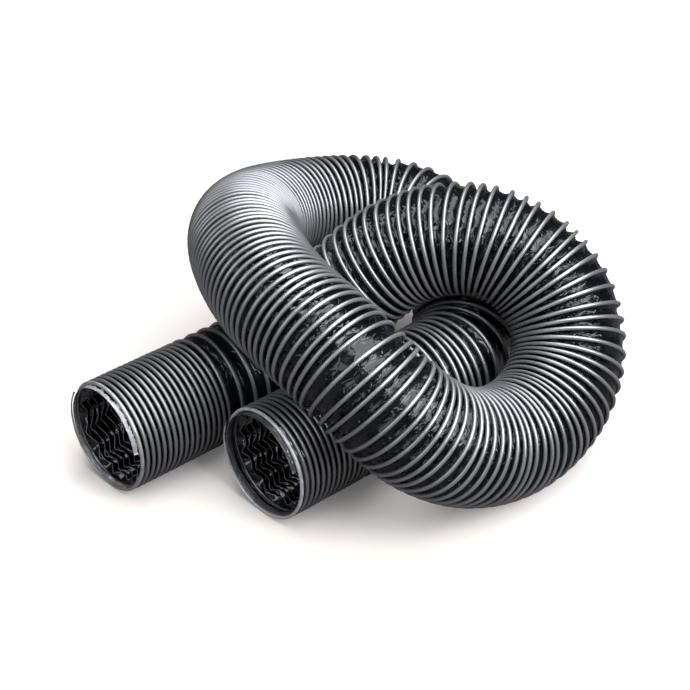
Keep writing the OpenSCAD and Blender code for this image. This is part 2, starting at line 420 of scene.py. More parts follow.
def swept(rings: np.ndarray) -> tuple[np.ndarray, np.ndarray]:
    """Points and faces of a closed skin carried along a path, each end closed by a fan.

    Args:
        rings: an array of rings by points by 3, each ring the same way round.

    Returns:
        The points, and the faces as rows of four indexes.
    """
    count, n = rings.shape[:2]
    i = np.arange(count - 1)[:, None] * n
    j = np.arange(n)[None, :]
    k = (j + 1) % n
    quads = np.stack([i + j, i + n + j, i + n + k, i + k], axis=-1).reshape(-1, 4)
    points = rings.reshape(-1, 3)
    mids = np.stack([rings[0].mean(0), rings[-1].mean(0)])
    first, last = count * n, count * n + 1
    j = np.arange(n)
    k = (j + 1) % n
    end = (count - 1) * n
    fan_a = np.stack([np.full(n, first), j, k, k], axis=-1)
    fan_b = np.stack([np.full(n, last), end + k, end + j, end + j], axis=-1)
    return np.vstack([points, mids]), np.vstack([quads, fan_a, fan_b])


def swept_uv(u: np.ndarray, v: np.ndarray) -> np.ndarray:
    """Texture coordinates for swept(), with u along the path and v round the section.

    Args:
        u: a value for each ring.
        v: a value for each point of a ring, and one more for the first point come round again.

    Returns:
        Corner coordinates, one row of four for each face, the caps' included.
    """
    here, on = slice(None, -1), slice(1, None)
    corners = [
        np.stack(np.broadcast_arrays(u[i, None], v[None, j]), -1)
        for i, j in ((here, here), (on, here), (on, on), (here, on))
    ]
    sides = np.stack(corners, axis=-2).reshape(-1, 4, 2)
    n = len(v) - 1
    caps = [np.tile([[u[e], v[0]]], (n * 4, 1)).reshape(n, 4, 2) for e in (0, -1)]
    return np.concatenate([sides, *caps])


@dataclass(frozen=True)
class Stretch:
    """A stretch of the hose between two turns, and how finely it is modelled."""

    name: str
    start: float
    end: float
    steps: int

    def rows(self) -> np.ndarray:
        """The turn of each ring of the stretch."""
        rings = max(2, round((self.end - self.start) * self.steps) + 1)
        return np.linspace(self.start, self.end, rings)


@dataclass
class SpringBead:
    """The round plastic bead over the spring wire.

    A circle of the bead's radius is carried along the helix: centre of the hose, plus the coil's
    radius outwards, at each angle. The circle stands square to the helix. In a tight bend the
    bead is thinner, as its turns nest in one another there.
    """

    sizes: HoseSizes
    winding: Winding
    sides: int = 10

    NEST = 0.56
    LEAST = 0.2
    STEP = 1 / 128
    ROUNDING_DEG = (35.0, 62.0, 82.0)

    def build(
        self, stretch: Stretch, round_ends: tuple[bool, bool] = (False, False)
    ) -> bpy.types.Object:
        """The bead's mesh along a stretch.

        Args:
            stretch: the stretch of turns.
            round_ends: whether the bead's first and last end are rounded over.

        Returns:
            The piece.
        """
        turn = stretch.rows()
        line, out = self._line(turn)
        way = unit(self._line(turn + self.STEP)[0] - self._line(turn - self.STEP)[0])
        side = unit(np.cross(way, out))
        radius = self._radius(turn, line)
        a = -TAU * np.arange(self.sides) / self.sides
        wide = np.cos(a)[None, :, None] * out[:, None] + np.sin(a)[None, :, None] * side[:, None]
        rings = line[:, None] + radius[:, None, None] * wide
        u = turn
        for first, wanted in ((True, round_ends[0]), (False, round_ends[1])):
            if wanted:
                rings, u = self._rounded(rings, u, way, first)
        uv = swept_uv(u, np.arange(self.sides + 1) / self.sides)
        piece = mesh_object(stretch.name, *swept(rings), uv)
        self._crisp_caps(piece.data, len(rings))
        return piece

    def _line(self, turn: np.ndarray) -> tuple[np.ndarray, np.ndarray]:
        """The spring's own centreline, and the outward direction, at each turn."""
        centre, _, out = self.winding.frame(turn)
        return centre + self.sizes.coil_r * out, out

    def _crisp_caps(self, mesh: bpy.types.Mesh, rings: int) -> None:
        """Keeps the flat caps from bending the shade of the bead's skin."""
        ends = np.zeros(2 * len(mesh.edges), np.int32)
        mesh.edges.foreach_get("vertices", ends)
        ring = ends.reshape(-1, 2) // self.sides
        capped = (ring[:, 0] == ring[:, 1]) & ((ring[:, 0] == 0) | (ring[:, 0] == rings - 1))
        sharp = mesh.attributes.new("sharp_edge", "BOOLEAN", "EDGE")
        sharp.data.foreach_set("value", capped)

    def _radius(self, turn: np.ndarray, line: np.ndarray) -> np.ndarray:
        """Radius of the bead that shows: less where a tight bend nests the turns in one another."""
        room = np.full(len(turn), self.sizes.bead_d)
        for step in (-1.0, 1.0):
            gap = np.linalg.norm(self._line(turn + step)[0] - line, axis=1)
            room = np.minimum(room, self.NEST * gap)
        return np.maximum(room, self.LEAST * self.sizes.bead_d) / 2

    def _rounded(
        self, rings: np.ndarray, u: np.ndarray, way: np.ndarray, first: bool
    ) -> tuple[np.ndarray, np.ndarray]:
        """Adds shrinking rings past one end: a quarter circle of the bead's radius."""
        ring = rings[0] if first else rings[-1]
        mid = ring.mean(0)
        r = np.linalg.norm(ring[0] - mid)
        out = -way[0] if first else way[-1]
        a = np.radians(self.ROUNDING_DEG)[:, None, None]
        extra = mid + (ring - mid)[None] * np.cos(a) + out * (r * np.sin(a))
        if first:
            return np.concatenate([extra[::-1], rings]), np.concatenate([np.full(len(a), u[0]), u])
        return np.concatenate([rings, extra]), np.concatenate([u, np.full(len(a), u[-1])])


@dataclass
class FilmSleeve:
    """The film hung between the turns.

    At each angle the film runs from one turn to the next at the same angle, along the chord
    between them, and sinks below the chord by the depth that its spare width leaves: half the
    root of its width squared less the chord squared. Across, it sinks as the power of a sine on
    the laid hose and as a sharp fold near the mouths. Where it is slack it buckles into kinks
    that run zigzag round the hose.
    """

    sizes: HoseSizes
    winding: Winding
    kinks: int = 11
    kink: float = 2.5 * MM
    seed: int = 11
    crumple: float = 0.16 * MM
    cuff_a: float = 0.7
    cuff_b: float = 1.9

    OUTER = np.array([0.0, 0.1, 0.27, 0.42, 0.5, 0.58, 0.73, 0.9, 1.0])
    INNER = np.array([0.93, 0.5, 0.07])
    LEAST_SLACK = 1.2 * MM
    CUFF_SLACK = 0.08
    BOW_POWER = 0.8
    SHARP_POWER = 1.25
    SHARP_TURNS = 22.0
    SHARP_EASE = 6.0
    FOLD_EASE = 0.5
    RAGGED = ((0.2, 3, 0.4), (0.13, 7, 1.9), (0.07, 17, 0.0))
    RAGGED_B = 0.3
    WANDER = ((0.9, 0, 1.3, 0.31), (0.7, 2, 0.0, 0.11), (0.5, 3, 2.1, 0.19))
    KINK_ROUND = 0.998
    KINK_SLACK = 5.2 * MM
    KINK_RISE = 0.22
    DEPTH_WAVE = 0.1
    DEPTH_RATE = 1.7
    BUCKLES = ((7.0, 2.0), (12.0, -3.0), (19.0, 4.5), (27.0, -5.0))
    BUCKLE_SWING = 2.3
    BUCKLE_RATES = (0.1, 0.4)

    def build(self, stretch: Stretch, inner: np.ndarray | None = None) -> bpy.types.Object:
        """The film's mesh along a stretch.

        Args:
            stretch: the stretch of turns.
            inner: places across at which the inner side has points, or None for a few.

        Returns:
            The piece.
        """
        turn = stretch.rows()
        inner = self.INNER if inner is None else inner
        outside = self.surface(turn, self.OUTER, 0.0)
        inside = self.surface(turn, inner, self.sizes.film_t)
        rings = np.concatenate([outside, inside], axis=1)
        across = np.concatenate([self.OUTER, inner, [0.0]]) * self.sizes.film_width
        along = turn * TAU * self.sizes.film_r
        return mesh_object(stretch.name, *swept(rings), swept_uv(along, across))

    def surface(self, turn: np.ndarray, across: np.ndarray, sink: float) -> np.ndarray:
        """Points of the film at each turn and place across.

        Args:
            turn: turns counted from the face of mouth A.
            across: places from one turn, 0, to the next, 1.
            sink: how far below the outer side the points lie.

        Returns:
            An array of turns by places by 3.
        """
        here, heading_a, out_a = self.winding.frame(turn)
        there, heading_b, out_b = self.winding.frame(turn + 1.0)
        a = here + self._edge_radius(turn)[:, None] * out_a
        b = there + self._edge_radius(turn + 1.0)[:, None] * out_b
        chord = b - a
        gap = np.linalg.norm(chord, axis=1)
        out, way = unit(out_a + out_b), unit(heading_a + heading_b)
        spare = np.maximum(self.sizes.film_width**2 - gap**2, self.LEAST_SLACK**2)
        slack = np.sqrt(spare) / 2
        slack *= self.CUFF_SLACK + (1 - self.CUFF_SLACK) * self._folded(turn, 1.0)
        angle = self.winding.angle(turn)
        depth, kink = self._kinks(turn, angle, slack)
        bow = self._bow(turn, across)
        wave = self._crumple(turn, angle, across)
        points = a[:, None] + across[None, :, None] * chord[:, None]
        points -= (depth[:, None] * bow + wave)[..., None] * out[:, None]
        points += (kink[:, None] * bow)[..., None] * way[:, None]
        return points - sink * out[:, None]

    def _bow(self, turn: np.ndarray, across: np.ndarray) -> np.ndarray:
        """Share of the fold's depth at each place across: a sharp fold near the mouths."""
        near_end = np.minimum(turn, self.winding.line.total - turn)
        sharp = np.clip((self.SHARP_TURNS - near_end) / self.SHARP_EASE, 0.0, 1.0)[:, None]
        rounded = np.sin(np.pi * across) ** self.BOW_POWER
        return (1 - sharp) * rounded + sharp * (1 - np.abs(2 * across - 1) ** self.SHARP_POWER)

    def _folded(self, turn: np.ndarray, span: float) -> np.ndarray:
        """How far the folds are formed: little on the smooth cuff of a mouth, and then wholly.

        Args:
            turn: turns counted from the face of mouth A.
            span: the turns that what is asked about reaches on from there.

        Returns:
            A share from 0 to 1 at each turn.
        """
        angle = self.winding.angle(turn)
        ragged = sum(high * np.sin(rate * angle + phase) for high, rate, phase in self.RAGGED)
        from_a = (turn - self.cuff_a - ragged) / self.FOLD_EASE
        left = self.winding.line.total - span - turn
        from_b = (left - self.cuff_b - self.RAGGED_B * ragged) / self.FOLD_EASE
        ease = np.clip(np.minimum(from_a, from_b), 0.0, 1.0)
        return ease * ease * (3 - 2 * ease)

    def _edge_radius(self, turn: np.ndarray) -> np.ndarray:
        """Radius at which the film meets a turn: inside the beads on a cuff, then between them."""
        ease = self._folded(turn, 0.0)
        return self.sizes.cuff_r + (self.sizes.film_r - self.sizes.cuff_r) * ease

    def _kinks(
        self, turn: np.ndarray, angle: np.ndarray, slack: np.ndarray
    ) -> tuple[np.ndarray, np.ndarray]:
        """Depth of the fold and how far its crest is pushed along the hose at each place.

        The crest follows a rounded triangle wave round the hose, in step from turn to turn, whose
        height grows with the slack.
        """
        wander = sum(
            high * np.sin(by_angle * angle + phase + by_turn * turn)
            for high, by_angle, phase, by_turn in self.WANDER
        )
        phase = self.kinks * angle + wander
        triangle = np.arcsin(self.KINK_ROUND * np.sin(phase)) / (np.pi / 2)
        loose = np.clip(slack / self.KINK_SLACK, 0, 1) ** 2
        rise = self.KINK_RISE * loose * np.abs(triangle)
        depth = slack * (1 - rise + self.DEPTH_WAVE * np.sin(self.DEPTH_RATE * phase + turn))
        return depth, self.kink * triangle * loose

    def _crumple(self, turn: np.ndarray, angle: np.ndarray, across: np.ndarray) -> np.ndarray:
        """Shallow buckles of the film: a sum of sines whose phases wander with the turn.

        It vanishes at the turns themselves, so that neighbouring strips meet.
        """
        r = np.random.default_rng(self.seed)
        total = np.zeros((len(turn), len(across)))
        for rate, lean in self.BUCKLES:
            start = r.uniform(0, TAU)
            swing = np.sin(TAU * turn * r.uniform(*self.BUCKLE_RATES) + r.uniform(0, TAU))
            phase = start + self.BUCKLE_SWING * swing
            total += np.sin(rate * angle[:, None] + lean * across[None, :] + phase[:, None]) / 2
        return self.crumple * total * np.sin(np.pi * across)


# ---- Finishes ----


class Nodes:
    """A short way to place and link shader nodes in one tree."""

    MIX_A, MIX_B, MIX_RESULT = 6, 7, 2

    def __init__(self, tree: bpy.types.NodeTree) -> None:
        """Keeps the tree."""
        self.tree = tree

    def add(
        self, kind: str, inputs: dict[str, Fed] | None = None, **values: object
    ) -> bpy.types.Node:
        """Adds a node, sets its own properties and feeds its inputs by name."""
        node = self.tree.nodes.new(kind)
        for key, value in values.items():
            setattr(node, key, value)
        self.fill(node, inputs or {})
        return node

    def link(self, source: Socket, target: Socket) -> None:
        """Links two sockets."""
        self.tree.links.new(source, target)

    def feed(self, value: Fed, target: Socket) -> None:
        """Links a socket to an input, or sets the input to a plain value."""
        if isinstance(value, Socket):
            self.link(value, target)
        else:
            target.default_value = value

    def fill(self, node: bpy.types.Node, inputs: dict[str, Fed]) -> None:
        """Feeds a node's inputs by name."""
        for key, value in inputs.items():
            self.feed(value, node.inputs[key])

    def place(self, kind: str) -> Socket:
        """The texture coordinates of one kind, such as Object or UV."""
        return self.add("ShaderNodeTexCoord").outputs[kind]

    def math(self, operation: str, *values: Socket | float) -> Socket:
        """The result of a sum on sockets and numbers."""
        node = self.add("ShaderNodeMath", operation=operation)
        for value, target in zip(values, node.inputs):
            self.feed(value, target)
        return node.outputs[0]

    def noise(
        self, vector: Socket, scale: float, detail: float, rough: float = 0.5
    ) -> bpy.types.Node:
        """A noise texture on a vector."""
        inputs = {"Vector": vector, "Scale": scale, "Detail": detail, "Roughness": rough}
        return self.add("ShaderNodeTexNoise", inputs)

    def ramp(self, fac: Socket, low: float, high: float, to_low: float, to_high: float) -> Socket:
        """Maps a value smoothly from one range to another."""
        ends = {"From Min": low, "From Max": high, "To Min": to_low, "To Max": to_high}
        inputs = {"Value": fac, **ends}
        node = self.add("ShaderNodeMapRange", inputs, interpolation_type="SMOOTHSTEP")
        return node.outputs["Result"]

    def mix(self, fac: Socket, a: Socket | Color, b: Socket | Color) -> Socket:
        """Mixes two colours, each written or from a socket, by a factor."""
        node = self.add("ShaderNodeMix", data_type="RGBA")
        self.link(fac, node.inputs[0])
        for value, at in ((a, self.MIX_A), (b, self.MIX_B)):
            self.feed(value if isinstance(value, Socket) else (*value, 1.0), node.inputs[at])
        return node.outputs[self.MIX_RESULT]

    def split(self, others: Socket, camera: Socket, surface: Socket) -> None:
        """Shows one shader to the camera's rays and another to all other rays."""
        mix = self.add("ShaderNodeMixShader")
        ray = self.add("ShaderNodeLightPath").outputs["Is Camera Ray"]
        for source, target in zip((ray, others, camera), mix.inputs):
            self.link(source, target)
        self.link(mix.outputs[0], surface)


def new_material(name: str) -> tuple[bpy.types.Material, Nodes]:
    """A new material and its node tree."""
    made = bpy.data.materials.new(name)
    made.use_nodes = True
    return made, Nodes(made.node_tree)


def surface_variation() -> bpy.types.NodeTree:
    """A group of slow and fine variation on object coordinates, shared by the finishes.

    Returns:
        The node group, with inputs Slow Scale and Fine Scale and outputs Slow and Fine.
    """
    name = "dust"
    known = bpy.data.node_groups.get(name)
    if known:
        return known
    group = bpy.data.node_groups.new(name, "ShaderNodeTree")
    scales = {"Slow": 30.0, "Fine": 900.0}
    number, sockets = "NodeSocketFloat", group.interface
    for part, scale in scales.items():
        socket = sockets.new_socket(f"{part} Scale", in_out="INPUT", socket_type=number)
        socket.default_value = scale
    for part in scales:
        sockets.new_socket(part, in_out="OUTPUT", socket_type=number)
    n = Nodes(group)
    ins, outs = n.add("NodeGroupInput"), n.add("NodeGroupOutput")
    where = n.place("Object")
    for part, detail in (("Slow", 3), ("Fine", 4)):
        texture = n.noise(where, scales[part], detail)
        n.link(ins.outputs[f"{part} Scale"], texture.inputs["Scale"])
        n.link(texture.outputs["Fac"], outs.inputs[part])
    return group


@dataclass(frozen=True)
class PaintedRim:
    """The pale stretch of painted light next to a cut end, measured along the piece's own U
    coordinate.

    Where torn is given, the pale film ends unevenly about that far across it, along V.
    """

    at: float
    reach: float
    fade: float
    tone: Color
    ragged: float = 0.0
    torn: float | None = None


@dataclass(frozen=True)
class PlasticFinish:
    """A glossy plastic, with slow changes of tone, fine scuffs and a bump, and on some pieces
    painted light.
    """

    SCALES = {"Slow Scale": 28.0, "Fine Scale": 1100.0}
    SLOW_SPREAD = (0.35, 0.68)
    FINE_SPREAD = (0.3, 0.75)
    # Tone and spread of the painted highlight along the fold's crest.
    CREST_HIGHLIGHT_TONE = (0.5, 0.5, 0.51)
    CREST_HIGHLIGHT_SPREAD = (0.3, 0.65, 0.15, 1.0)
    # Noise and depth of the darker spots of painted shadow on a pale rim; the same noise draws the
    # torn line.
    SPOT_NOISE_SCALE = 190.0
    SHADOW_SPOT_SPREAD = (0.36, 0.56)
    SHADOW_SPOT_SHADE = 0.62
    TEAR = 24.0 * MM
    TEAR_FADE = 0.5 * MM
    CREASE_WARP = (1.1, 1.1, 0.0)
    CREASE_WIDTH = 0.2
    CREASE_HEIGHT = 0.55

    name: str
    dark: Color
    light: Color
    rough_low: float
    rough_high: float
    bump: float
    bump_distance: float
    gloss: float = 0.5
    ior: float = 1.5
    creases: tuple[float, float] | None = None
    # Painted light next to a cut end: a pale rim, with spots of painted shadow.
    rim: PaintedRim | None = None
    # Where the fold's crest lies across the film, and how wide it is: a painted highlight goes
    # there.
    crest: tuple[float, float] | None = None

    def material(self) -> bpy.types.Material:
        """Builds the material once and returns it."""
        known = bpy.data.materials.get(self.name)
        if known:
            return known
        made, n = new_material(self.name)
        group = n.add("ShaderNodeGroup", node_tree=surface_variation())
        n.fill(group, self.SCALES)
        slow, fine = group.outputs["Slow"], group.outputs["Fine"]
        tone = n.mix(n.ramp(slow, *self.SLOW_SPREAD, 0, 1), self.dark, self.light)
        if self.crest:
            tone = self._painted_crest_highlight(n, tone, slow)
        if self.rim:
            tone = self._painted_rim_light(n, tone, slow)
        height = self._creases(n) if self.creases else fine
        ups = {"Strength": self.bump, "Distance": self.bump_distance, "Height": height}
        inputs = {
            "Base Color": tone,
            "Roughness": n.ramp(fine, *self.FINE_SPREAD, self.rough_low, self.rough_high),
            "Normal": n.add("ShaderNodeBump", ups).outputs["Normal"],
            "Specular IOR Level": self.gloss,
            "IOR": self.ior,
        }
        n.fill(n.tree.nodes["Principled BSDF"], inputs)
        return made

    def _uv(self, n: Nodes) -> tuple[Socket, Socket]:
        """The piece's U and V coordinates."""
        parts = n.add("ShaderNodeSeparateXYZ")
        n.link(n.place("UV"), parts.inputs[0])
        return parts.outputs["X"], parts.outputs["Y"]

    def _painted_crest_highlight(self, n: Nodes, tone: Socket, wander: Socket) -> Socket:
        """The tone, with a painted highlight along the fold's crest, stronger in some places than
        in others.
        """
        at, width = self.crest
        near = n.math("COMPARE", self._uv(n)[1], at, width / 2)
        share = n.math("MULTIPLY", near, n.ramp(wander, *self.CREST_HIGHLIGHT_SPREAD))
        return n.mix(share, tone, self.CREST_HIGHLIGHT_TONE)

    def _painted_rim_light(self, n: Nodes, tone: Socket, wander: Socket) -> Socket:
        """The tone, turned pale as painted light within the rim's reach of the cut end, with an
        uneven border and spots of painted shadow.
        """
        rim = self.rim
        along, across = self._uv(n)
        away = n.math("ABSOLUTE", n.math("SUBTRACT", along, rim.at))
        uneven = n.math("MULTIPLY_ADD", wander, rim.ragged, away)
        edge = rim.reach + 0.5 * rim.ragged
        pale = n.ramp(uneven, edge, edge + rim.fade, 1, 0)
        spot_noise = n.noise(n.place("Object"), self.SPOT_NOISE_SCALE, 4, 0.6).outputs["Fac"]
        if rim.torn:
            pale = self._torn(n, pale, across, spot_noise)
        # Painted shadow: darker spots scattered over the rim's pale tone.
        shade = tuple(self.SHADOW_SPOT_SHADE * c for c in rim.tone)
        shadow_spots = n.mix(n.ramp(spot_noise, *self.SHADOW_SPOT_SPREAD, 0, 1), shade, rim.tone)
        return n.mix(pale, tone, shadow_spots)

    def _torn(self, n: Nodes, pale: Socket, across: Socket, noise: Socket) -> Socket:
        """The share of the pale tone, cut off along an uneven line across the film."""
        line = n.math("MULTIPLY_ADD", noise, self.TEAR, across)
        edge = self.rim.torn + 0.5 * self.TEAR
        return n.math("MULTIPLY", pale, n.ramp(line, edge, edge + self.TEAR_FADE, 1, 0))

    def _creases(self, n: Nodes) -> Socket:
        """Height of a net of sharp creases, drawn out round the hose, between smooth dents."""
        drawn = n.add("ShaderNodeVectorMath", operation="MULTIPLY")
        drawn.inputs[1].default_value = (*self.creases, 1.0)
        n.link(n.place("UV"), drawn.inputs[0])
        bend = n.noise(drawn.outputs[0], 0.5, 0)
        warped = n.add("ShaderNodeVectorMath", operation="MULTIPLY_ADD")
        n.link(bend.outputs["Color"], warped.inputs[0])
        warped.inputs[1].default_value = self.CREASE_WARP
        n.link(drawn.outputs[0], warped.inputs[2])
        cells = n.add("ShaderNodeTexVoronoi", voronoi_dimensions="2D", feature="DISTANCE_TO_EDGE")
        n.fill(cells, {"Vector": warped.outputs[0], "Scale": 1.0})
        net = n.ramp(cells.outputs["Distance"], 0.0, self.CREASE_WIDTH, 0.0, self.CREASE_HEIGHT)
        return n.math("ADD", net, n.noise(drawn.outputs[0], 0.8, 0).outputs["Fac"])


@dataclass(frozen=True)
class WireFinish:
    """Bright drawn spring wire."""

    FINE_SPREAD = (0.3, 0.7)
    ROUGH = (0.22, 0.4)

    name: str = "drawn_wire"
    color: Color = (0.5, 0.5, 0.52)

    def material(self) -> bpy.types.Material:
        """Builds the material: metal whose roughness changes a little along it."""
        made, n = new_material(self.name)
        group = n.add("ShaderNodeGroup", node_tree=surface_variation())
        rough = n.ramp(group.outputs["Fine"], *self.FINE_SPREAD, *self.ROUGH)
        inputs = {"Base Color": (*self.color, 1.0), "Metallic": 1.0, "Roughness": rough}
        n.fill(n.tree.nodes["Principled BSDF"], inputs)
        return made


BEAD = PlasticFinish(
    name="bead_plastic",
    dark=(0.085, 0.088, 0.093),
    light=(0.14, 0.14, 0.142),
    rough_low=0.36,
    rough_high=0.45,
    bump=0.04,
    bump_distance=0.1 * MM,
    gloss=1.0,
    ior=2.3,
)
FILM = PlasticFinish(
    name="film_plastic",
    dark=(0.0015, 0.002, 0.003),
    light=(0.004, 0.005, 0.007),
    rough_low=0.16,
    rough_high=0.26,
    bump=0.5,
    bump_distance=0.6 * MM,
    creases=(130.0, 220.0),
)


# ---- Studio ----


@dataclass(frozen=True)
class Lamp:
    """A soft rectangular lamp: its place and size in metres, and its power in watts."""

    name: str
    place: tuple[float, float, float]
    width: float
    height: float
    power: float


@dataclass(frozen=True)
class Studio:
    """Camera, lamps, floor and surroundings."""

    LAMPS = (
        Lamp("key", (0.25, 0.05, 1.4), 2.1, 1.3, 35.0),
        Lamp("side", (0.95, -0.75, 1.0), 1.0, 0.8, 21.0),
        Lamp("front", (-0.9, -1.1, 0.85), 1.1, 0.9, 6.5),
    )
    AIM = (0.0, 0.0, 0.05)
    CLIP = (0.05, 50.0)
    FLOOR_REACH = 6.0
    FLOOR_BOUNCE = (0.14, 0.135, 0.13, 1.0)
    FLOOR_SEEN = (0.95, 0.87, 0.79, 1.0)
    FLOOR_GLOW = 0.1
    WHITE = (1.0, 1.0, 1.0, 1.0)
    SOFT_LIGHT = 0.035

    look_at: tuple[float, float, float] = (-0.0027, -0.0574, 0.0884)
    distance: float = 1.1
    elevation_deg: float = 33.02
    focal_px: float = 1887.5
    image_px: float = 690.0
    sensor_mm: float = 36.0
    lamp_color: Color = (0.955, 0.985, 1.05)

    def build(self) -> None:
        """Makes everything that isn't part of the object."""
        self._camera()
        for lamp in self.LAMPS:
            self._lamp(lamp)
        self._floor()
        self._world()
        bpy.context.scene.view_settings.view_transform = "Standard"

    def _camera(self) -> None:
        """The camera at the object's own viewing angle."""
        data = bpy.data.cameras.new("camera")
        data.sensor_width = self.sensor_mm
        data.lens = self.focal_px / self.image_px * self.sensor_mm
        data.clip_start, data.clip_end = self.CLIP
        cam = bpy.data.objects.new("camera", data)
        e = math.radians(self.elevation_deg)
        back = Vector((0.0, -math.cos(e), math.sin(e)))
        cam.location = Vector(self.look_at) + back * self.distance
        cam.rotation_euler = (-back).to_track_quat("-Z", "Y").to_euler()
        bpy.context.scene.collection.objects.link(cam)
        bpy.context.scene.camera = cam

    def _lamp(self, plan: Lamp) -> None:
        """Places one lamp, facing the object."""
        data = bpy.data.lights.new(plan.name, "AREA")
        data.shape = "RECTANGLE"
        data.size, data.size_y, data.energy = plan.width, plan.height, plan.power
        data.color = self.lamp_color
        lamp = bpy.data.objects.new(plan.name, data)
        lamp.location = plan.place
        aim = Vector(self.AIM) - Vector(plan.place)
        lamp.rotation_euler = aim.to_track_quat("-Z", "Y").to_euler()
        bpy.context.scene.collection.objects.link(lamp)

    def _floor(self) -> None:
        """A pale floor that keeps the object's shadow."""
        corners = self.FLOOR_REACH * np.array([[-1.0, -1, 0], [1, -1, 0], [1, 1, 0], [-1, 1, 0]])
        floor = mesh_object("floor", corners, np.array([[0, 1, 2, 3]]))
        made, n = new_material("floor")
        n.tree.nodes.remove(n.tree.nodes["Principled BSDF"])
        bounce = n.add("ShaderNodeBsdfDiffuse", {"Color": self.FLOOR_BOUNCE})
        seen = n.add("ShaderNodeBsdfDiffuse", {"Color": self.FLOOR_SEEN})
        glow = n.add("ShaderNodeEmission", {"Strength": self.FLOOR_GLOW})
        both = n.add("ShaderNodeAddShader")
        n.link(seen.outputs[0], both.inputs[0])
        n.link(glow.outputs[0], both.inputs[1])
        surface = n.tree.nodes["Material Output"].inputs["Surface"]
        n.split(bounce.outputs[0], both.outputs[0], surface)
        floor.data.materials.append(made)

    def _world(self) -> None:
        """White surroundings for the camera and for gloss, and a softer light on the object."""
        world = bpy.data.worlds.new("studio")
        bpy.context.scene.world = world
        world.use_nodes = True
        n = Nodes(world.node_tree)
        n.tree.nodes.clear()
        surface = n.add("ShaderNodeOutputWorld").inputs["Surface"]
        soft, white = (
            n.add("ShaderNodeBackground", {"Color": self.WHITE, "Strength": strength}).outputs[0]
            for strength in (self.SOFT_LIGHT, 1.0)
        )
        n.split(soft, white, surface)


# ---- The hose ----


@dataclass(frozen=True)
class PaintedMouthLight:
    """Painted light at a mouth: turns of pale film, and the painted tones of its bead and its film.
    """

    turns: float
    bead: Color
    film: Color


